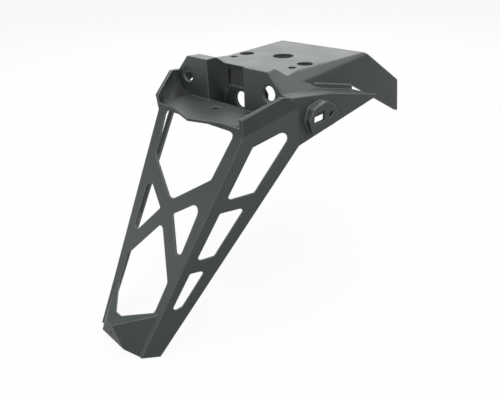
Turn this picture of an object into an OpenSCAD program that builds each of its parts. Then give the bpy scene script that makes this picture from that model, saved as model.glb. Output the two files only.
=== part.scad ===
// Tail tidy for a motorcycle: one moulded bracket of glass-filled plastic.
// A hood with two long skirts bolts under the tail. Behind it sit two ears,
// a shelf with a pointed lip and an open-web arm that ends in a reflector face.
// X points to the right-hand side, Y to the front of the motorcycle, Z up.
// The origin is the centre of the large hole in the top face of the hood plate.
// Only the right-hand half is described, and the left-hand half mirrors it.

/* [Shell] */
// Wall thickness of the whole moulding
wall = 2.8; // [2.4:0.2:4.2]

/* [Hood] */
// Half width of the hood where plate and skirt planes would meet
hood_half_w = 60; // [56:1:64]
// Radius of the hood's side edges at the front of the plate
hood_front_r = 4; // [2:0.5:8]
// Radius of the hood's side edges at the rear of the plate
hood_rear_r = 17.6; // [12:0.2:20]
// Outward lean of the skirts from vertical, in degrees
skirt_lean = 5.7; // [2:0.5:9]
// Front edge of the top plate
plate_front = 66; // [56:1:76]
// Rear edge of the top plate between the ears
plate_rear = -60; // [-64:1:-56]
// Foremost point of the skirts
skirt_front = 141; // [120:1:150]
// Depth of the skirts' tip below the plate
skirt_drop = 82; // [70:1:90]
// Height of the skirts' upright front edge
skirt_nose_h = 39; // [28:1:46]
// Y where the skirt's slanted lower edge starts
skirt_knee_y = 37; // [32:1:42]
// Width of the step along the foot of the skirt
foot_step = 1.8; // [1:0.2:2.6]
// Height of the foot strip above the ledge
foot_h = 4.2; // [3:0.2:6]
// Depth of the skirt's hidden part below the ledge
skirt_under_z = -46; // [-48:1:-40]
// Y of the rear end of the skirt's hidden part
skirt_under_rear = -50; // [-56:1:-44]
// Y of the front end of the skirt's hidden part
skirt_under_front = 18; // [10:1:26]

/* [Bolt holes in the plate] */
// Diameter of the large central hole
centre_hole_d = 22.4; // [18:0.2:26]
// Diameter of the medium holes, which clear a spacer head
spacer_hole_d = 16.2; // [12:0.2:20]
// Distance between the medium holes
spacer_pitch = 80; // [70:1:90]
// Y of the medium holes
spacer_y = -14; // [-18:1:-10]
// Diameter of the small bolt holes
bolt_hole_d = 8.6; // [6:0.2:10]
// Distance between the small bolt holes
bolt_pitch = 80; // [70:1:90]
// Y of the small bolt holes
bolt_y = -34; // [-40:1:-30]

/* [Ledge and fins] */
// Half width of the fin planes at the height of the plate
fin_half_w = 80.1; // [77:1:84]
// Outward lean of the fins from vertical, in degrees
fin_lean = 10.2; // [7:0.5:13]
// Depth of the ledge where its slope changes
ledge_bend_z = -17.8; // [-20:0.2:-16]
// Y where the slope of the ledge changes
ledge_bend_y = -30; // [-36:1:-24]
// Y of the pointed tip of the fins
fin_tip_y = 48.7; // [42:0.5:54]
// Depth of the tip of the fins
fin_tip_z = -36.2; // [-39:0.2:-33]
// Height of the blunt end at the tip of the fins
fin_tip_h = 2.6; // [2:0.2:5]
// Sideways fall of the ledge toward the fins, in degrees
ledge_fall = 5; // [0:0.5:8]

/* [Ears] */
// Y of the ears' rear faces
ear_y = -85.7; // [-88:0.5:-84]
// Height of the ears above the plate
ear_h = 7.8; // [5:0.2:9]
// Half of the gap between the ears
slot_half_w = 25.2; // [22:0.2:28]
// Length of the ears' level top
ear_top_len = 13.5; // [10:0.5:16]
// Distance between the ear bores
ear_bore_pitch = 111; // [106:1:116]
// Depth of the ear bores below the plate
ear_bore_z = -10.9; // [-13:0.1:-9]
// Diameter of the ear bores' counterbore
ear_cbore_d = 15.6; // [14:0.2:17]
// Diameter of the ear bores
ear_bore_d = 13.4; // [11:0.2:13.8]
// Depth of the counterbore
ear_cbore_t = 1.4; // [0.8:0.1:1.8]

/* [Shelf] */
// Depth of the shelf's top face
shelf_z = -32; // [-33:0.5:-30]
// Y of the point of the shelf's lip
lip_y = -135.2; // [-140:0.5:-130]
// Diameter of the drain hole in the shelf
shelf_hole_d = 8.8; // [6:0.2:11]
// Y of the hole in the shelf
shelf_hole_y = -99; // [-103:1:-96]

/* [Cable tab] */
// Y of the tab's rear face
tab_y = -64; // [-67:0.5:-63]
// Depth of the tab's top edge
tab_top_z = -19.8; // [-22:0.2:-18]
// Half width of the tab's top edge
tab_top_half_w = 15.6; // [13:0.2:18]
// Depth of the pocket floor that carries the tab
pocket_z = -43; // [-46:0.5:-41]
// Diameter of the cable hole in the tab
tab_hole_d = 17; // [14:0.2:18]
// Depth of the centre of the cable hole
tab_hole_z = -32; // [-33:0.2:-31]

/* [Arm corners] */
// Half width at the shoulder, where band, face and side wall meet
shoulder_half_w = 60.2; // [58:0.2:62]
// Y of the shoulder
shoulder_y = -123.7; // [-126:0.5:-122]
// Depth of the shoulder
shoulder_z = -39.4; // [-41:0.2:-38]
// Depth of the rim's rear corner
rim_rear_z = -23.8; // [-25:0.2:-22]
// Half width of the rim where it bends toward the fin
rim_bend_half_w = 77.7; // [76:0.1:79]
// Y where the rim bends toward the fin
rim_bend_y = -92.2; // [-94:0.2:-91]
// Depth of the rim where it bends toward the fin
rim_bend_z = -8.6; // [-10:0.2:-7]
// Half width at the knee, where face and beak meet
knee_half_w = 36.1; // [34:0.5:40]
// Y of the knee
knee_y = -218.4; // [-224:1:-212]
// Depth of the knee
knee_z = -192.1; // [-198:1:-186]
// Half width at the toe, the lower rear corner of the side wall
toe_half_w = 35; // [34:0.2:36]
// Reach of the toe behind the knee
toe_reach = 24; // [22:0.2:26]
// Depth of the toe
toe_z = -229.4; // [-231:0.2:-228]
// Reach behind the knee of the heel, the lower front corner of the side wall
heel_reach = 9.4; // [7:0.2:12]
// Depth of the heel
heel_z = -231.3; // [-236:0.5:-228]
// Y where the arm's front edge meets the fin
hip_y = -83.5; // [-86:0.5:-81]
// Depth where the arm's front edge meets the fin
hip_z = -51.7; // [-54:0.5:-49]

/* [Reflector face] */
// Reach of the reflector face behind the knee
nose_reach = 31.6; // [28:0.2:36]
// Half width of the reflector face at its top
nose_top_half_w = 5.1; // [4:0.1:8]
// Half width of the reflector face at its foot
nose_foot_half_w = 18.9; // [17:0.1:21]
// Depth of the top of the reflector face
nose_top_z = -201.7; // [-204:0.5:-199]
// Depth of the foot of the reflector face
nose_foot_z = -223.2; // [-227:0.5:-220]
// Diameter of the reflector's screw hole
nose_hole_d = 4.4; // [3:0.2:6]
// Depth of the reflector's screw hole
nose_hole_z = -214; // [-217:0.5:-211]

/* [Open web] */
// Width of the side wall's rear rail at the shoulder
rear_rail_w = 11.6; // [9.6:0.2:13]
// Narrowing of the rear rail down to the toe
rear_rail_taper = 5.6; // [3:0.2:6.6]
// Width of the side wall's front rail at the hip
front_rail_w = 12; // [10:0.2:13]
// Narrowing of the front rail down to the heel
front_rail_taper = 3.6; // [0:0.2:5]
// Start of the top opening along the rear rail
web_top_rear = 4; // [2:0.5:8]
// Start of the top opening along the front rail
web_top_front = -15; // [-16:0.5:-10]
// Centre of the upper strut along the rear rail
strut1_rear = 62.6; // [58:0.2:68]
// Centre of the upper strut along the front rail
strut1_front = 63.8; // [60:0.2:70]
// Centre of the lower strut along the rear rail
strut2_rear = 124.8; // [120:0.2:131]
// Centre of the lower strut along the front rail
strut2_front = 132.2; // [128:0.2:138]
// End of the bottom opening along the rear rail
web_foot_rear = 173.5; // [168:0.5:180]
// End of the bottom opening along the front rail
web_foot_front = 181; // [176:0.5:188]
// Width of the struts along the rear rail
strut_rear_w = 13; // [10:0.5:16]
// Width of the struts along the front rail
strut_front_w = 15.6; // [12:0.2:20]
// Radius of the corners of the openings
web_r = 2.1; // [1:0.1:3]
// Radius of the top opening's front corner
web_top_r = 5; // [3:0.5:7]
// Thickness of the wall beside an opening
land_t = 1.4; // [1:0.1:2]
// Width of the thin border round an opening
land_w = 1.6; // [1:0.1:2.4]

/* [Face openings] */
// Width of the face rail at the top opening
face_rail_w = 11.4; // [9:0.2:13]
// Width of the face rail at the lower openings
face_rail_low_w = 7.2; // [6:0.2:9]
// Depth of the crossing of the face's struts
cross_z = -115; // [-120:1:-110]
// Height of the crossing between the upper and the lower opening
cross_h = 20; // [16:1:24]
// Depth where the top opening's sides turn inward
face_turn_z = -77; // [-82:0.5:-72]

/* [Indicator pads] */
// Half width across the faces of the indicator pads
pad_half_w = 92; // [91:0.2:94]
// Y of the centre of the indicator hole
stalk_y = -57.6; // [-60:0.2:-55]
// Depth of the centre of the indicator hole
stalk_z = -31.4; // [-33:0.2:-30]
// Length of the indicator hole
stalk_len = 16; // [14:0.2:17]
// Height of the indicator hole
stalk_h = 10; // [8:0.2:11]
// Y of the centre of the oval cable hole
oval_y = -40; // [-42:0.2:-39]
// Depth of the centre of the oval cable hole
oval_z = -32.8; // [-34:0.2:-31]
// Length of the oval cable hole
oval_len = 7.4; // [6:0.2:9]
// Width of the oval cable hole
oval_w = 5; // [4:0.2:6]
// Radius of the corners of the pads
pad_r = 6; // [4:0.5:8]

/* [Hidden] */
colour = "#3a3d3e";
// Reach of the large cutting blocks
far = 400;
// Overlap that joins or clears neighbouring solids
lap = 0.4;

function unit(v) = v / norm(v);
function azimuth(n) = atan2(n.y, n.x);
function rise(n) = asin(n.z / norm(n));
// Outward direction of the plane through three points
function facing(a, b, c) = let (n = unit(cross(b - a, c - a))) n.x < 0 ? -n : n;
// Point where a line parallel to X meets a plane
function on_plane(n, p, y, z) = [(n * p - n.y * y - n.z * z) / n.x, y, z];

// Axes of a panel: level direction and upward direction
function level_axis(n) = [-sin(azimuth(n)), cos(azimuth(n)), 0];
function slope_axis(n) = cross(unit(n), level_axis(n));
function sketch(n, p) = [p * level_axis(n), p * slope_axis(n)];

// Outline with its corners rounded, one radius for each corner
function rounded(pts, radii, steps = 5) = [
    for (i = [0:len(pts) - 1])
        let (
            p = pts[i],
            a = unit(pts[(i + len(pts) - 1) % len(pts)] - p),
            b = unit(pts[(i + 1) % len(pts)] - p),
            r = is_list(radii) ? radii[i] : radii,
            half = acos(max(-1, min(1, a * b))) / 2,
            reach = r / tan(half),
            mid = p + unit(a + b) * r / sin(half),
            from = p + a * reach - mid,
            turn = (cross(a, b) > 0 ? -1 : 1) * (180 - 2 * half)
        )
        for (k = r > 0 ? [0:steps] : [0:0])
            let (t = turn * k / steps)
            r > 0 ? mid + [from.x * cos(t) - from.y * sin(t), from.x * sin(t) + from.y * cos(t)] : p
];

// Open path moved sideways by a distance, with mitred corners
function moved(pts, d) = [
    for (i = [0:len(pts) - 1])
        let (
            a = i > 0 ? unit(pts[i] - pts[i - 1]) : unit(pts[1] - pts[0]),
            b = i < len(pts) - 1 ? unit(pts[i + 1] - pts[i]) : a,
            na = [-a.y, a.x],
            nb = [-b.y, b.x],
            m = unit(na + nb)
        )
        pts[i] + m * d / (m * na)
];

// Closed outline with every side moved outward by a distance
function grown(pts, d) = let (
    n = len(pts),
    sense = sign([for (i = [0:n - 1]) cross(pts[i], pts[(i + 1) % n])] * [for (p = pts) 1])
) [
    for (i = [0:n - 1])
        let (
            a = unit(pts[i] - pts[(i + n - 1) % n]),
            b = unit(pts[(i + 1) % n] - pts[i]),
            na = [a.y, -a.x] * sense,
            m = unit(na + [b.y, -b.x] * sense)
        )
        pts[i] + m * d / (m * na)
];

// Corners of the right-hand half
nose_y = knee_y - nose_reach;
toe_y = knee_y - toe_reach;
heel_y = knee_y - heel_reach;
shoulder = [shoulder_half_w, shoulder_y, shoulder_z];
knee = [knee_half_w, knee_y, knee_z];
toe = [toe_half_w, toe_y, toe_z];
rim_bend = [rim_bend_half_w, rim_bend_y, rim_bend_z];
nose_top = [nose_top_half_w, nose_y, nose_top_z];
nose_foot = [nose_foot_half_w, nose_y, nose_foot_z];

// Outward directions of the panels
fin_n = [cos(fin_lean), 0, sin(fin_lean)];
fin_p = [fin_half_w, 0, 0];
hip = on_plane(fin_n, fin_p, hip_y, hip_z);
wall_n = facing(shoulder, toe, hip);
rim_rear_y = shoulder_y - 1.1;
band_n = facing(shoulder, rim_bend, [shoulder_half_w + 0.5, rim_rear_y, rim_rear_z]);
chin_n = facing(knee, nose_top, nose_foot);
face_n = unit([0, shoulder_z - knee_z, knee_y - shoulder_y]);
heel = on_plane(wall_n, shoulder, heel_y, heel_z);

// Side view of the face, from the rim down to the foot of the reflector face
back_path = [
    [rim_rear_y, rim_rear_z],
    [shoulder_y, shoulder_z],
    [knee_y, knee_z],
    [nose_y, nose_top_z],
    [nose_y, nose_foot_z]
];
// Side view of the ledge's top face
ledge_path = [
    [rim_bend_y, rim_bend_z],
    [ledge_bend_y, ledge_bend_z],
    [fin_tip_y, fin_tip_z]
];
// Side view of the ears' top
ear_path = [
    [ear_y, ear_h],
    [ear_y + ear_top_len, ear_h],
    [plate_rear - 0.5, 0]
];

// Flank of the ears: slanted facet from the ear's top down to the ledge
flank_n = unit([0.70, 0.175, 0.692]);
flank_p = [54.6, ear_y, ear_h];
function flank_x(y, z) = on_plane(flank_n, flank_p, y, z).x;
ear_brow_z = -9.5;
ear_wide = 72;
tab_base_half_w = 30;
tip = on_plane(fin_n, fin_p, fin_tip_y, fin_tip_z);
function ledge_line(y) = y < ledge_bend_y
    ? ledge_bend_z + (y - ledge_bend_y) * (rim_bend_z - ledge_bend_z) / (rim_bend_y - ledge_bend_y)
    : ledge_bend_z + (y - ledge_bend_y) * (fin_tip_z - ledge_bend_z) / (fin_tip_y - ledge_bend_y);
skirt_foot_rise = (fin_half_w - hood_half_w) * tan(ledge_fall);
function ledge_z(y) = skirt_foot_rise + ledge_line(y);
// Y where the ear's flank meets skirt and ledge
flank_end_y = -27.5;
ear_front_y = flank_end_y + 8;
// Front end of the pocket between the ears
pocket_front_y = plate_rear + 5;

// Round edge between plate and skirt: a cone with its point on the sharp edge
edge_turn = (90 - skirt_lean) / 2;
edge_gain = (hood_rear_r - hood_front_r) / (plate_front - plate_rear);
edge_tip = [hood_half_w, plate_front + hood_front_r / edge_gain, 0];
edge_run = edge_gain * tan(edge_turn);
edge_axis = unit([-edge_run, -1, -edge_run * cos(skirt_lean) / (1 - sin(skirt_lean))]);
edge_cone = asin(-edge_axis.z);
edge_steps = 8;
// Outward directions round the cone, from the plate at 0 to the skirt at 1
edge_up = unit([0, 0, 1] - edge_axis * edge_axis.z);
edge_side = cross(edge_up, edge_axis);
edge_out = [cos(skirt_lean), 0, sin(skirt_lean)];
edge_sweep = atan2(edge_out * edge_side, edge_out * edge_up);
function edge_facet(t) = edge_axis * edge_axis.z
    + (edge_up * cos(edge_sweep * t) + edge_side * sin(edge_sweep * t)) * cos(edge_cone);

// Both halves of what is drawn for the right-hand side
module both_sides() {
    children();
    mirror([1, 0, 0]) children();
}

// Block behind a plane with outward direction n through the point p
module behind(n, p, inset = 0)
    rotate([0, -rise(n), azimuth(n)])
        translate([unit(n) * p - inset - far, -far, -far])
            cube([far, 2 * far, 2 * far]);

// Side-view outline drawn across the width from x0 to x1
module across(x0, x1)
    translate([x0, 0, 0])
        rotate([90, 0, 90])
            linear_extrude(x1 - x0)
                children();

// Rear-view outline drawn forward from y0 to y1
module along(y0, y1)
    translate([0, y1, 0])
        rotate([90, 0, 0])
            linear_extrude(y1 - y0)
                children();

// Section of the hood's right-hand half with a sharp edge
module hood_section(inset)
    polygon([
        [-lap, -inset],
        [hood_half_w - inset * tan(edge_turn), -inset],
        [hood_half_w + 2 * skirt_drop * tan(skirt_lean) - inset / cos(skirt_lean), -2 * skirt_drop],
        [-lap, -2 * skirt_drop]
    ]);

// Right-hand half of the hood, filled in: the loop's blocks act as one, so they
// cut a narrow notch along the sharp edge
module hood_half(inset)
    intersection() {
        along(ear_y - 2 * wall, skirt_front + 2 * wall)
            hood_section(inset);
        for (k = [1:edge_steps - 1])
            behind(edge_facet(k / edge_steps), edge_tip, inset);
    }

// Side view of the plate and the skirt
skirt_side = [
    [plate_rear, wall],
    [plate_front, wall],
    [plate_front, 0],
    [skirt_front - 3, skirt_nose_h - skirt_drop],
    [skirt_front, -skirt_drop],
    [skirt_knee_y, ledge_z(skirt_knee_y) + foot_h],
    [skirt_knee_y, ledge_z(skirt_knee_y)],
    [skirt_under_front, ledge_z(skirt_under_front)],
    [skirt_under_front - 10, skirt_under_z],
    [skirt_under_rear, skirt_under_z],
    [skirt_under_rear, ledge_z(skirt_under_rear)],
    [plate_rear, ledge_z(plate_rear)]
];

module hood()
    intersection() {
        difference() {
            hood_half(0);
            translate([-1, 0, 0]) hood_half(wall);
        }
        across(-lap, 2 * hood_half_w)
            polygon(rounded(skirt_side, [0, 0, 0, 4, 1.5, 0, 0, 0, 0, 0, 0, 0]));
    }

// Strip along the foot of the skirt, a step thicker than the skirt
module skirt_foot()
    intersection() {
        difference() {
            hood_half(-foot_step);
            hood_half(lap);
        }
        across(0, 2 * hood_half_w)
            polygon([
                [flank_end_y, ledge_z(flank_end_y) - wall],
                [flank_end_y, ledge_z(flank_end_y) + foot_h],
                [skirt_knee_y - 1, ledge_z(skirt_knee_y - 1) + foot_h],
                [skirt_knee_y - 1, ledge_z(skirt_knee_y - 1) - wall]
            ]);
    }

// Solid form of an ear's cap: level top, slope down to the plate and slanted flank
module ear_form(inset)
    intersection() {
        across(slot_half_w + inset, fin_half_w)
            polygon(concat(
                [[ear_y + inset, shelf_z - inset]],
                moved(ear_path, -inset),
                [[ear_front_y - inset, -inset], [ear_front_y - inset, shelf_z - inset]]
            ));
        behind(flank_n, flank_p, inset);
    }

// Rear face of an ear, seen from behind
ear_face = [
    [slot_half_w, shelf_z - wall],
    [slot_half_w, ear_h],
    [flank_x(ear_y, ear_h), ear_h],
    [flank_x(ear_y, ear_brow_z), ear_brow_z],
    [ear_wide, ear_brow_z - 8],
    [ear_wide - 6, ear_brow_z - 17],
    [ear_wide - 18, shelf_z],
    [ear_wide - 18, shelf_z - wall]
];

module ear() {
    along(ear_y, ear_y + wall)
        polygon(rounded(ear_face, [0, 0, 1, 1, 3, 4, 2, 0]));
    intersection() {
        difference() {
            ear_form(0);
            ear_form(wall);
        }
        across(0, far)
            polygon([
                [ear_y, ear_h + 1],
                [ear_front_y + 1, ear_h + 1],
                [ear_front_y + 1, ledge_z(ear_front_y + 1) - wall],
                [ledge_bend_y, ledge_z(ledge_bend_y) - wall],
                [ear_y, ledge_z(ear_y) - wall]
            ]);
        difference() {
            translate([0, -far, -far]) cube(2 * far);
            hood_half(wall);
        }
    }
    // Side wall of the slot between the ears
    across(slot_half_w, slot_half_w + wall)
        polygon([
            [ear_y, pocket_z - wall],
            [ear_y, ear_h],
            [ear_path[1].x, ear_h],
            [plate_rear - 0.5, 0],
            [plate_rear, -15],
            [pocket_front_y, -23],
            [pocket_front_y, pocket_z - wall]
        ]);
}

// Ledge between skirt and fin
module ledge()
    intersection() {
        translate([fin_half_w, 0, 0])
            rotate([0, ledge_fall, 0])
                translate([-fin_half_w, 0, 0])
                    across(hood_half_w - 3 * wall, far / 2)
                        polygon(concat(
                            [[ear_y, ledge_line(ear_y)]],
                            [ledge_path[1]],
                            [ledge_path[2]],
                            [ledge_path[2] - [0, wall]],
                            [ledge_path[1] - [0, wall]],
                            [[ear_y, ledge_line(ear_y) - wall]]
                        ));
        behind(fin_n, fin_p);
        difference() {
            translate([0, -far, -far]) cube(2 * far);
            hood_half(wall);
        }
        // Front edge from the skirt to the tip of the fin
        translate([0, 0, 0])
            linear_extrude(2 * far, center = true)
                polygon([
                    [0, ear_y],
                    [fin_half_w + 20, ear_y],
                    [fin_half_w + 20, fin_tip_y + 8],
                    [tip.x, fin_tip_y],
                    [hood_half_w, skirt_knee_y - 1],
                    [0, skirt_knee_y - 1]
                ]);
    }

// Solid form of arm and fins, right-hand half; walls are set back by inset
module arm_form(inset)
    intersection() {
        across(-lap, far / 2)
            polygon(inset > 0
                ? concat(
                    [[-far, far], [-far, shelf_z], [back_in(inset)[0].x, shelf_z]],
                    [for (i = [1:4]) back_in(inset)[i]],
                    [[nose_y + inset, -far], [far, -far], [far, far]]
                )
                : arm_side);
        behind(fin_n, fin_p, inset);
        union() {
            behind(chin_n, nose_top, inset);
            behind([0, 0, -1], knee);
        }
        union() {
            behind(wall_n, shoulder, inset);
            behind(band_n, shoulder, inset);
        }
    }

function back_in(inset) = moved(back_path, inset);

// Side view of arm and fins
arm_side = concat(
    back_path,
    [[toe_y, toe_z]],
    [[heel_y, heel_z]],
    [[hip_y, hip_z]],
    [[fin_tip_y - 3, fin_tip_z - fin_tip_h]],
    [[fin_tip_y, fin_tip_z]],
    [ledge_path[1]],
    [ledge_path[0]]
);

module arm_shell()
    difference() {
        arm_form(0);
        translate([-1, 0, 0]) arm_form(wall);
    }

// Straight rear edge of the side wall, which passes beside the beak down to the toe
module wall_lip()
    difference() {
        intersection() {
            across(0, far / 2)
                polygon([
                    [knee_y, knee_z],
                    [toe_y, toe_z],
                    [heel_y, heel_z],
                    [(knee_y + hip_y) / 2, (knee_z + hip_z) / 2]
                ]);
            behind(wall_n, shoulder);
        }
        behind(wall_n, shoulder, wall);
    }

// Openings of the side wall, drawn in the plane of the wall
shoulder_s = sketch(wall_n, shoulder);
toe_s = sketch(wall_n, toe);
hip_s = sketch(wall_n, hip);
heel_s = sketch(wall_n, heel);
rear_dir = unit(toe_s - shoulder_s);
rear_len = norm(toe_s - shoulder_s);
front_dir = unit(heel_s - hip_s);
front_len = norm(heel_s - hip_s);
rear_in = [-rear_dir.y, rear_dir.x];
front_in = [front_dir.y, -front_dir.x];
function on_rear(a) = shoulder_s + rear_dir * a + rear_in * (rear_rail_w - rear_rail_taper * a / rear_len);
function on_front(b) = hip_s + front_dir * b + front_in * (front_rail_w - front_rail_taper * b / front_len);

module wall_openings(grow = 0) {
    rear = [
        [web_top_rear, strut1_rear - strut_rear_w / 2],
        [strut1_rear + strut_rear_w / 2, strut2_rear - strut_rear_w / 2],
        [strut2_rear + strut_rear_w / 2, web_foot_rear]
    ];
    front = [
        [web_top_front, strut1_front - strut_front_w / 2],
        [strut1_front + strut_front_w / 2, strut2_front - strut_front_w / 2],
        [strut2_front + strut_front_w / 2, web_foot_front]
    ];
    rotate([0, -rise(wall_n), azimuth(wall_n)])
        translate([wall_n * shoulder - 3 * wall, 0, 0])
            rotate([90, 0, 90])
                linear_extrude(5 * wall)
                    for (i = [0:2])
                        polygon(rounded(
                            grown([
                                on_rear(rear[i].x),
                                on_rear(rear[i].y),
                                on_front(front[i].y),
                                on_front(front[i].x)
                            ], grow),
                            [for (k = [0:3]) grow + (i == 0 && k == 3 ? web_top_r : web_r)]
                        ));
}

// Openings of the face and the beak
function crease_x(z) = knee_half_w + (shoulder_half_w - knee_half_w) * (z - knee_z) / (shoulder_z - knee_z);
function rail_x(z) = crease_x(z) - (z > face_turn_z - 4 ? face_rail_w : face_rail_low_w);
function face_sketch(x, z) = [x, z / face_n.y * -1];

module face_openings(grow = 0) {
    slope = 0.69;
    low_slope = 1.2;
    top_apex = cross_z + cross_h / 2;
    low_apex = cross_z - cross_h / 2;
    turn_x = rail_x(face_turn_z) - 1.5;
    top = [
        [turn_x + 8, shoulder_z + 2],
        [turn_x, face_turn_z],
        [0, face_turn_z - turn_x * slope],
        [-turn_x, face_turn_z],
        [-turn_x - 8, shoulder_z + 2]
    ];
    inner_x = 9.3;
    side_x = 40.6;
    side = [
        [inner_x, cross_z],
        [side_x, cross_z + (side_x - inner_x) * 0.665],
        [36.8, cross_z - (36.8 - inner_x) * 1.224]
    ];
    bottom = [
        [0, low_apex],
        [33.2, low_apex - 33.2 * low_slope],
        [30, knee_z - 3],
        [-30, knee_z - 3],
        [-33.2, low_apex - 33.2 * low_slope]
    ];
    along(knee_y + 1, shoulder_y + 60) {
        polygon(rounded(grown(top, grow), [5, 3, 8, 3, 5]));
        polygon(rounded(grown(side, grow), [1.5, 6, 4.6]));
        mirror([1, 0]) polygon(rounded(grown(side, grow), [1.5, 6, 4.6]));
        polygon(rounded(grown(bottom, grow), [5, 5, 0, 0, 5]));
    }
    // Cut-out that runs on over the beak
    translate([0, 0, nose_foot_z])
        linear_extrude(far)
            polygon(rounded(grown([
                [30, knee_y + 8],
                [30, knee_y],
                [4.5, knee_y - 20],
                [-4.5, knee_y - 20],
                [-30, knee_y],
                [-30, knee_y + 8]
            ], grow), [0, 3, 2, 2, 3, 0]));
}

// Plan of the shelf with its pointed lip
shelf_plan = [
    [0, ear_y + wall],
    [ear_wide - 18, ear_y + wall],
    [ear_wide - 18, ear_y],
    [57, -99.7],
    [62.3, -109.3],
    [62, -116],
    [56, -119],
    [40, -122],
    [0, lip_y]
];

module shelf()
    difference() {
        intersection() {
            translate([0, 0, shelf_z - wall])
                linear_extrude(wall)
                    polygon(shelf_plan);
            behind(band_n, shoulder, wall / 2);
        }
        translate([-1, ear_y, shelf_z - 2 * wall])
            cube([slot_half_w + 1, 3 * wall, 3 * wall]);
    }

// Pocket below the slot, with the tab that holds the cable
module cable_tab() {
    along(tab_y, tab_y + wall)
        polygon([
            [-lap, tab_top_z],
            [tab_top_half_w, tab_top_z],
            [tab_base_half_w, pocket_z],
            [-lap, pocket_z]
        ]);
    translate([-lap, ear_y, pocket_z - wall])
        cube([slot_half_w + wall + lap, pocket_front_y - ear_y, wall]);
    translate([-lap, ear_y, pocket_z - wall])
        cube([slot_half_w + wall + lap, wall, shelf_z - pocket_z + wall]);
}

// Raised pad for the indicator
pad_outline = [
    [stalk_y - 8, stalk_z + 9.2],
    [stalk_y + 10, stalk_z + 12],
    [stalk_y + 21, stalk_z + 7],
    [stalk_y + 34.5, stalk_z - 11.5],
    [stalk_y - 8.5, stalk_z - 16],
    [stalk_y - 14.5, stalk_z - 1]
];

module pad(inset)
    intersection() {
        across(fin_half_w - 2, pad_half_w - inset)
            polygon(rounded(inset > 0
                ? [for (p = pad_outline) pad_mid + (p - pad_mid) * (1 - inset / 16)]
                : pad_outline, pad_r));
        if (inset == 0)
            difference() {
                translate([0, -far, -far]) cube(2 * far);
                arm_form(wall);
            }
    }

pad_mid = [stalk_y + 8, stalk_z - 2];

module stalk_holes() {
    across(fin_half_w - 4, pad_half_w + 1) {
        polygon(rounded([
            [stalk_y - stalk_len / 2, stalk_z - stalk_h / 2],
            [stalk_y + stalk_len / 2, stalk_z - stalk_h / 2],
            [stalk_y + stalk_len / 2, stalk_z + stalk_h / 2],
            [stalk_y - stalk_len / 2, stalk_z + stalk_h / 2]
        ], [1, 1, 1, 5]));
        translate([oval_y, oval_z])
            rotate(30)
                translate([-(oval_len - oval_w) / 2, 0])
                    for (x = [0, oval_len - oval_w])
                        translate([x, 0]) circle(d = oval_w, $fn = 32);
    }
}

module bores() {
    cylinder(d = centre_hole_d, h = 4 * wall, center = true, $fn = 64);
    translate([spacer_pitch / 2, spacer_y, 0])
        cylinder(d = spacer_hole_d, h = 4 * wall, center = true, $fn = 64);
    translate([bolt_pitch / 2, bolt_y, 0])
        cylinder(d = bolt_hole_d, h = 4 * wall, center = true, $fn = 48);
    translate([ear_bore_pitch / 2, ear_y, ear_bore_z])
        rotate([90, 0, 0]) {
            cylinder(d = ear_bore_d, h = 4 * wall, center = true, $fn = 64);
            translate([0, 0, -ear_cbore_t])
                cylinder(d = ear_cbore_d, h = wall, $fn = 64);
        }
    translate([0, shelf_hole_y, shelf_z])
        cylinder(d = shelf_hole_d, h = 4 * wall, center = true, $fn = 48);
    translate([0, tab_y, tab_hole_z])
        rotate([90, 0, 0])
            cylinder(d = tab_hole_d, h = 4 * wall, center = true, $fn = 64);
    translate([0, nose_y, nose_hole_z])
        rotate([90, 0, 0])
            cylinder(d = nose_hole_d, h = 4 * wall, center = true, $fn = 32);
}

// The moulding before its holes
module half_shell() {
    difference() {
        union() {
            hood();
            skirt_foot();
            ledge();
        }
        ear_form(wall);
    }
    ear();
    difference() {
        union() {
            arm_shell();
            wall_lip();
            pad(0);
        }
        pad(wall);
        wall_openings();
        face_openings();
        // Thin border round the openings, set back from inside
        intersection() {
            arm_form(land_t);
            union() {
                wall_openings(land_w);
                face_openings(land_w);
            }
        }
    }
    shelf();
    cable_tab();
}

module bracket()
    difference() {
        both_sides() half_shell();
        both_sides() {
            stalk_holes();
            bores();
        }
    }

color(colour) bracket();
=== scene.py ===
"""Tail tidy of a motorcycle: one moulded bracket, dressed and lit on a plain pale floor."""

import logging
import math
from dataclasses import dataclass, field
from enum import Enum

import bmesh
import bpy
from mathutils import Matrix, Vector


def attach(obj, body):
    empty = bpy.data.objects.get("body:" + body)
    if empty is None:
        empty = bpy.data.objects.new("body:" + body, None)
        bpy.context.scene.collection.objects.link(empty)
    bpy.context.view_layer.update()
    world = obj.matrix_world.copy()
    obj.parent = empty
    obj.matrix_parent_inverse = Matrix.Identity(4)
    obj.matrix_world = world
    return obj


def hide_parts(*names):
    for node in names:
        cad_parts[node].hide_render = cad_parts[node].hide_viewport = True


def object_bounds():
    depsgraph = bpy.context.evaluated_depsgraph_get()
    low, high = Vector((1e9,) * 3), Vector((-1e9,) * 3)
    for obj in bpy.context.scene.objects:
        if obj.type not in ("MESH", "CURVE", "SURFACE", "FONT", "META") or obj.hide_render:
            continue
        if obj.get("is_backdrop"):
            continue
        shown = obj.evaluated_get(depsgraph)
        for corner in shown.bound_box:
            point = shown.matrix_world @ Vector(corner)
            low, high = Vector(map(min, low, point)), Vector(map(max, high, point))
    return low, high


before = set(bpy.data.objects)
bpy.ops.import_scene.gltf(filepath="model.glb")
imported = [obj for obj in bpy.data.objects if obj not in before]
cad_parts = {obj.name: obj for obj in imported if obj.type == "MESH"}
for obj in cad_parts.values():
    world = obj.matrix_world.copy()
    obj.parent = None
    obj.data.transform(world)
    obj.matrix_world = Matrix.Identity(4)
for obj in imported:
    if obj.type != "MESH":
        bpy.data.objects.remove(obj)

LOG = logging.getLogger("tail_tidy")
MM = 0.001
PICTURE_WIDTH_PX = 500
WHITE = "#ffffff"
# The mix node's two colour inputs and its colour output, which share names with others
COLOUR_A, COLOUR_B, COLOUR_OUT = 6, 7, 2
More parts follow.
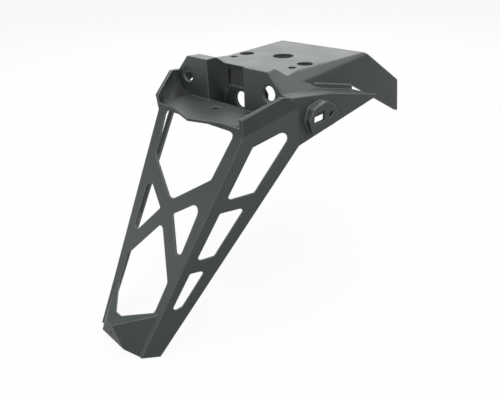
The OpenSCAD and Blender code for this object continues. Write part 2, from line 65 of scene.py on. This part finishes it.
# Values between which nearly all of a noise texture lies
NOISE_LOW, NOISE_HIGH = 0.3, 0.7


class Blend(Enum):
    """Ways in which the mix node joins two colours."""

    MIX = "MIX"
    MULTIPLY = "MULTIPLY"


def linear(hex_colour: str) -> tuple[float, float, float, float]:
    """Turns an sRGB hex colour into linear values.

    Args:
        hex_colour: Colour as "#rrggbb".

    Returns:
        Linear red, green, blue and an alpha of one.
    """
    parts = [int(hex_colour[i : i + 2], 16) / 255 for i in (1, 3, 5)]
    channels = [c / 12.92 if c <= 0.04045 else ((c + 0.055) / 1.055) ** 2.4 for c in parts]
    return (channels[0], channels[1], channels[2], 1.0)


def per_metre(size_mm: float) -> float:
    """Noise scale that gives features of about this size, in object metres."""
    return 1.0 / (size_mm * MM)


def add_node(
    tree: bpy.types.NodeTree,
    kind: str,
    settings: dict[str, object] | None = None,
    inputs: dict[str | int, object] | None = None,
) -> bpy.types.Node:
    """Adds a node with its settings and its links.

    Args:
        tree: Node tree that takes the node.
        kind: Blender's type name of the node.
        settings: Attributes to set on the node.
        inputs: Value or output socket for each named or numbered input.

    Returns:
        The new node.
    """
    node = tree.nodes.new(kind)
    for name, value in (settings or {}).items():
        setattr(node, name, value)
    for name, value in (inputs or {}).items():
        socket = node.inputs[name]
        if isinstance(value, bpy.types.NodeSocket):
            tree.links.new(value, socket)
        else:
            socket.default_value = value
    return node


@dataclass(frozen=True)
class GlassFilledNylon:
    """Glass-filled nylon, injection moulded in a spark-eroded mould.

    The eroded mould leaves a fine even grain, so the dark grey reads satin:
    broad soft sheen toward the light and no sharp reflection anywhere.
    """

    name: str = "moulded_glass_filled_nylon"
    slot: str = "moulded_plastic"
    colour: str = "#3a4141"
    pale_colour: str = "#434949"
    # Paler grey painted along every edge as a highlight
    painted_highlight_colour: str = "#a3a9a9"
    roughness: float = 0.44
    roughness_spread: float = 0.05
    ior: float = 1.52
    flow_mm: float = 34.0
    flow_detail: float = 3.0
    flow_roughness: float = 0.5
    grain_mm: float = 1.3
    grain_detail: float = 2.0
    grain_roughness: float = 0.6
    grain_height_mm: float = 0.09
    grain_strength: float = 0.9
    grain_tone: float = 0.11
    edge_radius_mm: float = 1.9
    edge_samples: int = 8
    painted_highlight_from: float = 0.99
    painted_highlight_full: float = 0.8
    painted_highlight_share: float = 0.5

    def build(self) -> bpy.types.Material:
        """Makes the node material.

        Returns:
            Material for the bracket's slot.
        """
        material = bpy.data.materials.new(self.name)
        material.use_nodes = True
        tree = material.node_tree
        tree.nodes.clear()
        place = add_node(tree, "ShaderNodeTexCoord").outputs["Object"]
        # Flow of the melt: wide, faint clouds in tone and sheen
        flow = add_node(
            tree,
            "ShaderNodeTexNoise",
            inputs={
                "Vector": place,
                "Scale": per_metre(self.flow_mm),
                "Detail": self.flow_detail,
                "Roughness": self.flow_roughness,
            },
        )
        # Spark-eroded grain: real pits are about 0.2 mm, drawn coarser so that they show
        grain = add_node(
            tree,
            "ShaderNodeTexNoise",
            inputs={
                "Vector": place,
                "Scale": per_metre(self.grain_mm),
                "Detail": self.grain_detail,
                "Roughness": self.grain_roughness,
            },
        )
        # The mould's edges are never sharp: a small radius that catches the light
        edge = add_node(
            tree,
            "ShaderNodeBevel",
            {"samples": self.edge_samples},
            {"Radius": self.edge_radius_mm * MM},
        )
        tone = self.tone(tree, flow, grain, edge)
        roughness = add_node(
            tree,
            "ShaderNodeMapRange",
            inputs={
                "Value": flow.outputs["Fac"],
                "From Min": NOISE_LOW,
                "From Max": NOISE_HIGH,
                "To Min": self.roughness - self.roughness_spread,
                "To Max": self.roughness + self.roughness_spread,
            },
        )
        bump = add_node(
            tree,
            "ShaderNodeBump",
            inputs={
                "Strength": self.grain_strength,
                "Distance": self.grain_height_mm * MM,
                "Height": grain.outputs["Fac"],
                "Normal": edge.outputs["Normal"],
            },
        )
        shader = add_node(
            tree,
            "ShaderNodeBsdfPrincipled",
            inputs={
                "Base Color": tone.outputs[COLOUR_OUT],
                "Roughness": roughness.outputs["Result"],
                "IOR": self.ior,
                "Normal": bump.outputs["Normal"],
            },
        )
        add_node(tree, "ShaderNodeOutputMaterial", inputs={"Surface": shader.outputs["BSDF"]})
        return material

    def tone(
        self,
        tree: bpy.types.NodeTree,
        flow: bpy.types.Node,
        grain: bpy.types.Node,
        edge: bpy.types.Node,
    ) -> bpy.types.Node:
        """Adds the nodes of the colour: clouds, a painted highlight along the edges and grain.

        Args:
            tree: Node tree of the material.
            flow: Noise of the melt's flow.
            grain: Noise of the grain.
            edge: Bevel node, whose normal turns away from the panel's near an edge.

        Returns:
            Mix node that gives the colour.
        """
        clouds = add_node(
            tree,
            "ShaderNodeMix",
            {"data_type": "RGBA", "blend_type": Blend.MIX.value},
            {
                "Factor": flow.outputs["Fac"],
                COLOUR_A: linear(self.colour),
                COLOUR_B: linear(self.pale_colour),
            },
        )
        facing = add_node(tree, "ShaderNodeNewGeometry")
        turned = add_node(
            tree,
            "ShaderNodeVectorMath",
            {"operation": "DOT_PRODUCT"},
            {0: edge.outputs["Normal"], 1: facing.outputs["Normal"]},
        )
        # Painted highlight: edges, found where the bevel normal turns away, are painted paler than
        # the panels
        painted_highlight_mask = add_node(
            tree,
            "ShaderNodeMapRange",
            inputs={
                "Value": turned.outputs["Value"],
                "From Min": self.painted_highlight_from,
                "From Max": self.painted_highlight_full,
                "To Min": 0.0,
                "To Max": self.painted_highlight_share,
            },
        )
        # Mixes the painted edge highlight into the clouded colour
        with_painted_highlight = add_node(
            tree,
            "ShaderNodeMix",
            {"data_type": "RGBA", "blend_type": Blend.MIX.value},
            {
                "Factor": painted_highlight_mask.outputs["Result"],
                COLOUR_A: clouds.outputs[COLOUR_OUT],
                COLOUR_B: linear(self.painted_highlight_colour),
            },
        )
        # Pits of the grain hold a little less light than the lands between them
        speck = add_node(
            tree,
            "ShaderNodeMapRange",
            inputs={
                "Value": grain.outputs["Fac"],
                "From Min": NOISE_LOW,
                "From Max": NOISE_HIGH,
                "To Min": 1.0 - self.grain_tone,
                "To Max": 1.0 + self.grain_tone,
            },
        )
        return add_node(
            tree,
            "ShaderNodeMix",
            {"data_type": "RGBA", "blend_type": Blend.MULTIPLY.value},
            {
                "Factor": 1.0,
                COLOUR_A: with_painted_highlight.outputs[COLOUR_OUT],
                COLOUR_B: speck.outputs["Result"],
            },
        )


Shape = tuple[list[Vector], list[tuple[int, ...]]]


class Cut(Enum):
    """Ways in which a helper solid changes a piece."""

    UNION = "UNION"
    DIFFERENCE = "DIFFERENCE"


def box_faces() -> list[tuple[int, ...]]:
    """Faces of a block whose corners are listed depth by rise by length."""
    return [(0, 1, 3, 2), (4, 6, 7, 5), (0, 4, 5, 1), (2, 3, 7, 6), (0, 2, 6, 4), (1, 5, 7, 3)]


def cone_of(tip: Vector, ring: list[Vector]) -> Shape:
    """Makes a pyramid over a closed ring.

    Args:
        tip: Point of the pyramid.
        ring: Corners of its base, in order.

    Returns:
        Corners and faces.
    """
    count = len(ring)
    faces = [tuple(range(count))]
    faces += [(i, count, (i + 1) % count) for i in range(count)]
    return ring + [tip], faces


def solid(name: str, shape: Shape, side: int) -> bpy.types.Object:
    """Makes a helper solid on one side of the part.

    Args:
        name: Name of the object.
        shape: Corners in millimetres for the right-hand side, and faces.
        side: 1 for the right-hand side, -1 for the left-hand side.

    Returns:
        The object, in metres, with its faces turned outward.
    """
    points, faces = shape
    mesh = bpy.data.meshes.new(name)
    mesh.from_pydata([(p.x * side * MM, p.y * MM, p.z * MM) for p in points], [], faces)
    work = bmesh.new()
    work.from_mesh(mesh)
    bmesh.ops.recalc_face_normals(work, faces=work.faces)
    work.to_mesh(mesh)
    work.free()
    helper = bpy.data.objects.new(name, mesh)
    bpy.context.scene.collection.objects.link(helper)
    return helper


def boolean(piece: bpy.types.Object, helper: bpy.types.Object, cut: Cut) -> None:
    """Cuts a piece by a helper solid, or joins them.

    Args:
        piece: Object whose mesh changes.
        helper: Solid that cuts or is joined.
        cut: Kind of change.
    """
    change = piece.modifiers.new("change", "BOOLEAN")
    change.operation = cut.value
    change.solver = "EXACT"
    change.object = helper
    graph = bpy.context.evaluated_depsgraph_get()
    mesh = bpy.data.meshes.new_from_object(piece.evaluated_get(graph))
    piece.modifiers.clear()
    old = piece.data
    piece.data = mesh
    bpy.data.meshes.remove(old)


@dataclass(frozen=True)
class HoodEdge:
    """Round edge between the hood's plate and skirt, a cone that widens to the rear.

    All sizes are in millimetres, and x counts outward from the middle on both sides.
    half_width is where the planes of plate and skirt would meet, and lean_deg is the
    skirt's lean. The flank is the ear's slanted facet, which the edge stops at.
    overshoot carries the cut past the plate's rear end, and seam keeps the new wall
    just clear of the planes beside it, so that no two faces fall together.
    """

    half_width: float = 60.0
    lean_deg: float = 5.7
    front_radius: float = 4.0
    rear_radius: float = 17.6
    plate_front: float = 66.0
    plate_rear: float = -60.0
    wall: float = 2.8
    flank_normal: tuple[float, float, float] = (0.70, 0.175, 0.692)
    flank_point: tuple[float, float, float] = (54.6, -85.7, 7.8)
    flank_front: float = -19.5
    flank_reach: float = 60.0
    facets: int = 20
    overshoot: float = 1.0
    seam: float = 0.015

    def gain(self) -> float:
        """Growth of the radius for each millimetre toward the rear."""
        return (self.rear_radius - self.front_radius) / (self.plate_front - self.plate_rear)

    def axis(self) -> Vector:
        """Direction of the cone's axis, from its point to the rear."""
        lean = math.radians(self.lean_deg)
        run = self.gain() * math.tan((math.pi / 2 - lean) / 2)
        return Vector((-run, -1.0, -run * math.cos(lean) / (1 - math.sin(lean)))).normalized()

    def point(self, inset: float) -> Vector:
        """Point of the cone, moved back along its axis for an inner surface."""
        ahead = self.front_radius / self.gain()
        tip = Vector((self.half_width, self.plate_front + ahead, 0.0))
        axis = self.axis()
        return tip + axis * (inset / -axis.z)

    def normals(self) -> list[Vector]:
        """Outward directions round the cone.

        Returns:
            One unit vector for each line of the cone, from the plate to the skirt.
        """
        lean = math.radians(self.lean_deg)
        axis = self.axis()
        up = (Vector((0, 0, 1)) - axis * axis.z).normalized()
        side = up.cross(axis)
        out = Vector((math.cos(lean), 0, math.sin(lean)))
        sweep = math.atan2(out.dot(side), out.dot(up))
        around = [sweep * i / self.facets for i in range(self.facets + 1)]
        slope = math.sqrt(1 - axis.z**2)
        return [axis * axis.z + (up * math.cos(t) + side * math.sin(t)) * slope for t in around]

    def arc(self, y: float, inset: float) -> list[Vector]:
        """Points of the cone in the upright plane at y, from the plate to the skirt."""
        axis = self.axis()
        tip = self.point(inset)
        lines = [axis - n * axis.dot(n) for n in self.normals()]
        return [tip + g * ((y - tip.y) / g.y) for g in lines]


@dataclass
class Bracket:
    """The one moulded piece: hood, ears, shelf and open-web arm."""

    node: str = "bracket"
    name: str = "bracket_moulding"
    edge: HoodEdge = field(default_factory=HoodEdge)
    finish: GlassFilledNylon = field(default_factory=GlassFilledNylon)
    weld_mm: float = 0.002
    flat_deg: float = 0.6
    edge_from_deg: float = 17.0
    area_weight: int = 100

    def build(self) -> bpy.types.Object:
        """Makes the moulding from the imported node, rounds the hood's edges and dresses it.

        Returns:
            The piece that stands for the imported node.
        """
        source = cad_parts[self.node]
        piece = bpy.data.objects.new(self.name, source.data.copy())
        bpy.context.scene.collection.objects.link(piece)
        work = bmesh.new()
        work.from_mesh(piece.data)
        bmesh.ops.remove_doubles(work, verts=work.verts, dist=self.weld_mm * MM)
        LOG.info("open edges %d", sum(not e.is_manifold for e in work.edges))
        work.to_mesh(piece.data)
        work.free()
        for side in (1, -1):
            self.round_edge(piece, side)
        for polygon in piece.data.polygons:
            polygon.use_smooth = True
        self.soften_edges(piece)
        material = self.finish.build()
        piece.data.materials.clear()
        piece.data.materials.append(material)
        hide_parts(self.node)
        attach(piece, "root")
        return piece

    def round_edge(self, piece: bpy.types.Object, side: int) -> None:
        """Cuts the sharp corner off one side of the hood and closes the wall behind it.

        Args:
            piece: Object to work on.
            side: 1 for the right-hand side, -1 for the left-hand side.
        """
        edge = self.edge
        rear = edge.plate_rear
        outer = edge.arc(rear - edge.overshoot, 0.0)
        corner = Vector((edge.half_width + edge.overshoot, rear - edge.overshoot, edge.overshoot))
        waste = solid("waste", cone_of(edge.point(0.0), outer + [corner]), side)
        flank = solid("flank", self.flank_block(), side)
        boolean(waste, flank, Cut.DIFFERENCE)
        skin = solid("skin", self.skin_solid(), side)
        boolean(piece, waste, Cut.DIFFERENCE)
        boolean(piece, skin, Cut.UNION)
        for helper in (waste, flank, skin):
            bpy.data.objects.remove(helper, do_unlink=True)

    def skin_solid(self) -> Shape:
        """Wall between the outer and the inner cone.

        Returns:
            Corners and faces.
        """
        edge = self.edge
        seam = edge.seam
        stations = (edge.plate_rear + seam, edge.plate_front - seam)
        rings = [edge.arc(y, seam) + edge.arc(y, edge.wall - seam)[::-1] for y in stations]
        count = len(rings[0])
        points = rings[0] + rings[1]
        faces = [tuple(range(count)), tuple(range(2 * count - 1, count - 1, -1))]
        for i in range(count):
            j = (i + 1) % count
            faces.append((i, count + i, j))
            faces.append((j, count + i, count + j))
        return points, faces

    def flank_block(self) -> Shape:
        """Block behind the slanted flank of an ear, up to the flank's front end.

        Returns:
            Corners and faces.
        """
        edge = self.edge
        reach = edge.flank_reach
        normal = Vector(edge.flank_normal).normalized()
        level = Vector((0.0, 1.0, 0.0))
        level = (level - normal * level.dot(normal)).normalized()
        rise = normal.cross(level)
        base = Vector(edge.flank_point)
        points = []
        for depth in (0.0, -reach):
            for up in (-reach, reach):
                row = base + normal * depth + rise * up
                for y in (base.y - reach, edge.flank_front):
                    points.append(row + level * ((y - row.y) / level.y))
        return points, box_faces()

    def soften_edges(self, piece: bpy.types.Object) -> None:
        """Keeps flat panels flat and lets the hood's round edge shade as one curve.

        Args:
            piece: Object that takes the modifiers.
        """
        weld = piece.modifiers.new("weld", "WELD")
        weld.merge_threshold = self.weld_mm * MM
        flat = piece.modifiers.new("flat", "DECIMATE")
        flat.decimate_type = "DISSOLVE"
        flat.angle_limit = math.radians(self.flat_deg)
        edge = piece.modifiers.new("edge", "EDGE_SPLIT")
        edge.split_angle = math.radians(self.edge_from_deg)
        edge.use_edge_sharp = False
        normals = piece.modifiers.new("normals", "WEIGHTED_NORMAL")
        normals.mode = "FACE_AREA"
        normals.weight = self.area_weight
        normals.keep_sharp = False


@dataclass(frozen=True)
class PaleFloor:
    """Matt white studio paper: even and pale, with the object's soft shadow on it."""

    name: str = "white_studio_paper"
    colour: str = "#f4f4f4"
    bounce_colour: str = "#8a8a8a"
    glow_share: float = 0.93
    mirrored_strength: float = 0.65

    def build(self) -> bpy.types.Material:
        """Makes the floor's material.

        Returns:
            Material that shows white to the camera wherever no shadow falls.
        """
        material = bpy.data.materials.new(self.name)
        material.use_nodes = True
        tree = material.node_tree
        tree.nodes.clear()
        path = add_node(tree, "ShaderNodeLightPath")
        # Rays that bounce on from the bracket see a darker sheet, so its underside stays dark
        bounce = add_node(
            tree,
            "ShaderNodeBsdfDiffuse",
            inputs={"Color": linear(self.bounce_colour), "Roughness": 0.0},
        )
        paper = add_node(
            tree,
            "ShaderNodeBsdfDiffuse",
            inputs={"Color": linear(self.colour), "Roughness": 0.0},
        )
        glow = add_node(
            tree,
            "ShaderNodeEmission",
            inputs={"Color": linear(WHITE), "Strength": 1.0},
        )
        sheet = add_node(
            tree,
            "ShaderNodeMixShader",
            inputs={"Fac": self.glow_share, 1: paper.outputs["BSDF"], 2: glow.outputs["Emission"]},
        )
        mirrored = add_node(
            tree,
            "ShaderNodeEmission",
            inputs={"Color": linear(WHITE), "Strength": self.mirrored_strength},
        )
        gloss = add_node(
            tree,
            "ShaderNodeMixShader",
            inputs={
                "Fac": path.outputs["Is Glossy Ray"],
                1: bounce.outputs["BSDF"],
                2: mirrored.outputs["Emission"],
            },
        )
        either = add_node(
            tree,
            "ShaderNodeMixShader",
            inputs={
                "Fac": path.outputs["Is Camera Ray"],
                1: gloss.outputs["Shader"],
                2: sheet.outputs["Shader"],
            },
        )
        add_node(tree, "ShaderNodeOutputMaterial", inputs={"Surface": either.outputs["Shader"]})
        return material


@dataclass(frozen=True)
class SoftBox:
    """One softbox: where it stands, how large it is and how strong."""

    name: str
    azimuth_deg: float
    elevation_deg: float
    power_w: float
    distance_m: float = 1.6
    width_m: float = 1.4
    height_m: float = 1.1

    def build(self, target: Vector) -> bpy.types.Object:
        """Adds the lamp, turned to the object.

        Args:
            target: Point that the lamp faces.

        Returns:
            The lamp object.
        """
        data = bpy.data.lights.new(self.name, "AREA")
        data.shape = "RECTANGLE"
        data.size = self.width_m
        data.size_y = self.height_m
        data.energy = self.power_w
        lamp = bpy.data.objects.new(self.name, data)
        around = math.radians(self.azimuth_deg)
        up = math.radians(self.elevation_deg)
        flat = math.cos(up)
        away = Vector((math.sin(around) * flat, math.cos(around) * flat, math.sin(up)))
        lamp.location = target + away * self.distance_m
        lamp.rotation_euler = (-away).to_track_quat("-Z", "Y").to_euler()
        bpy.context.scene.collection.objects.link(lamp)
        return lamp


@dataclass
class Studio:
    """Floor, surroundings and lamps."""

    floor_half_m: float = 6.0
    floor_gap_mm: float = 0.5
    diffuse_strength: float = 0.14
    glossy_strength: float = 0.5
    paper: PaleFloor = field(default_factory=PaleFloor)
    lamps: tuple[SoftBox, ...] = (
        SoftBox("top_softbox", 0.0, 88.0, 20.5),
        SoftBox("front_left_softbox", -46.0, 30.0, 9.2),
        SoftBox("rear_softbox", 180.0, 30.0, 5.0),
        SoftBox("right_softbox", 110.0, 14.0, 4.2),
        SoftBox("front_softbox", 12.0, 26.0, 3.0, width_m=0.9, height_m=0.9),
        SoftBox("low_left_softbox", -142.0, 4.0, 0.6, distance_m=0.8, width_m=0.8, height_m=0.3),
    )

    def build(self) -> None:
        """Builds the floor, the surroundings and the lamps."""
        low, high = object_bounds()
        target = (Vector(low) + Vector(high)) / 2
        floor = self.floor(Vector(low).z - self.floor_gap_mm * MM)
        floor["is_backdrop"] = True
        LOG.info("stage %s", floor.name)
        self.surroundings()
        for lamp in self.lamps:
            LOG.info("lamp %s", lamp.build(target).name)

    def floor(self, height: float) -> bpy.types.Object:
        """Makes the floor sheet.

        Args:
            height: Height of the floor in metres.

        Returns:
            The floor object.
        """
        r = self.floor_half_m
        mesh = bpy.data.meshes.new("floor")
        rim = [(-r, -r, height), (r, -r, height), (r, r, height), (-r, r, height)]
        mesh.from_pydata(rim, [], [(0, 1, 2, 3)])
        floor = bpy.data.objects.new("floor", mesh)
        bpy.context.scene.collection.objects.link(floor)
        mesh.materials.append(self.paper.build())
        return floor

    def surroundings(self) -> None:
        """Sets a room that is white to the camera, greyer in reflections and dim as a light."""
        world = bpy.data.worlds.new("white_room")
        bpy.context.scene.world = world
        world.use_nodes = True
        tree = world.node_tree
        tree.nodes.clear()
        path = add_node(tree, "ShaderNodeLightPath")
        # One strength for rays that light the object, one for its gloss, one for the camera
        gloss = add_node(
            tree,
            "ShaderNodeMapRange",
            inputs={
                "Value": path.outputs["Is Glossy Ray"],
                "To Min": self.diffuse_strength,
                "To Max": self.glossy_strength,
            },
        )
        strength = add_node(
            tree,
            "ShaderNodeMapRange",
            inputs={
                "Value": path.outputs["Is Camera Ray"],
                "To Min": gloss.outputs["Result"],
                "To Max": 1.0,
            },
        )
        light = add_node(
            tree,
            "ShaderNodeBackground",
            inputs={"Color": linear(WHITE), "Strength": strength.outputs["Result"]},
        )
        add_node(tree, "ShaderNodeOutputWorld", inputs={"Surface": light.outputs["Background"]})


@dataclass(frozen=True)
class Viewpoint:
    """Camera at the photograph's viewing angle, in real sizes."""

    azimuth_deg: float = 44.631
    elevation_deg: float = 29.638
    roll_deg: float = 1.674
    focal_px: float = 453.0
    sensor_mm: float = 36.0
    nearest_m: float = 0.01
    farthest_m: float = 50.0
    place_mm: tuple[float, float, float] = (317.97, -378.58, 105.75)

    def build(self) -> bpy.types.Object:
        """Adds the camera and makes it the scene's camera.

        Returns:
            The camera object.
        """
        angles = (self.azimuth_deg, self.elevation_deg, self.roll_deg)
        az, el, roll = (math.radians(v) for v in angles)
        flat = math.cos(el)
        ahead = Vector((-math.sin(az) * flat, math.cos(az) * flat, -math.sin(el)))
        level = ahead.cross(Vector((0, 0, 1))).normalized()
        down = ahead.cross(level)
        right = math.cos(roll) * level + math.sin(roll) * down
        below = -math.sin(roll) * level + math.cos(roll) * down
        turn = Matrix((right, -below, -ahead)).transposed()
        data = bpy.data.cameras.new("camera")
        data.sensor_fit = "HORIZONTAL"
        data.sensor_width = self.sensor_mm
        data.lens = self.focal_px / PICTURE_WIDTH_PX * self.sensor_mm
        data.clip_start = self.nearest_m
        data.clip_end = self.farthest_m
        camera = bpy.data.objects.new("camera", data)
        camera.matrix_world = Matrix.Translation(Vector(self.place_mm) * MM) @ turn.to_4x4()
        bpy.context.scene.collection.objects.link(camera)
        bpy.context.scene.camera = camera
        return camera


def main() -> None:
    """Builds the scene in order."""
    logging.basicConfig(level=logging.INFO, format="%(name)s: %(message)s")
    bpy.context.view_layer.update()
    bpy.context.scene.view_settings.view_transform = "Standard"
    LOG.info("camera %s", Viewpoint().build().name)
    piece = Bracket().build()
    LOG.info("piece %s with %s", piece.name, piece.data.materials[0].name)
    Studio().build()


if __name__ == "__main__":
    main()
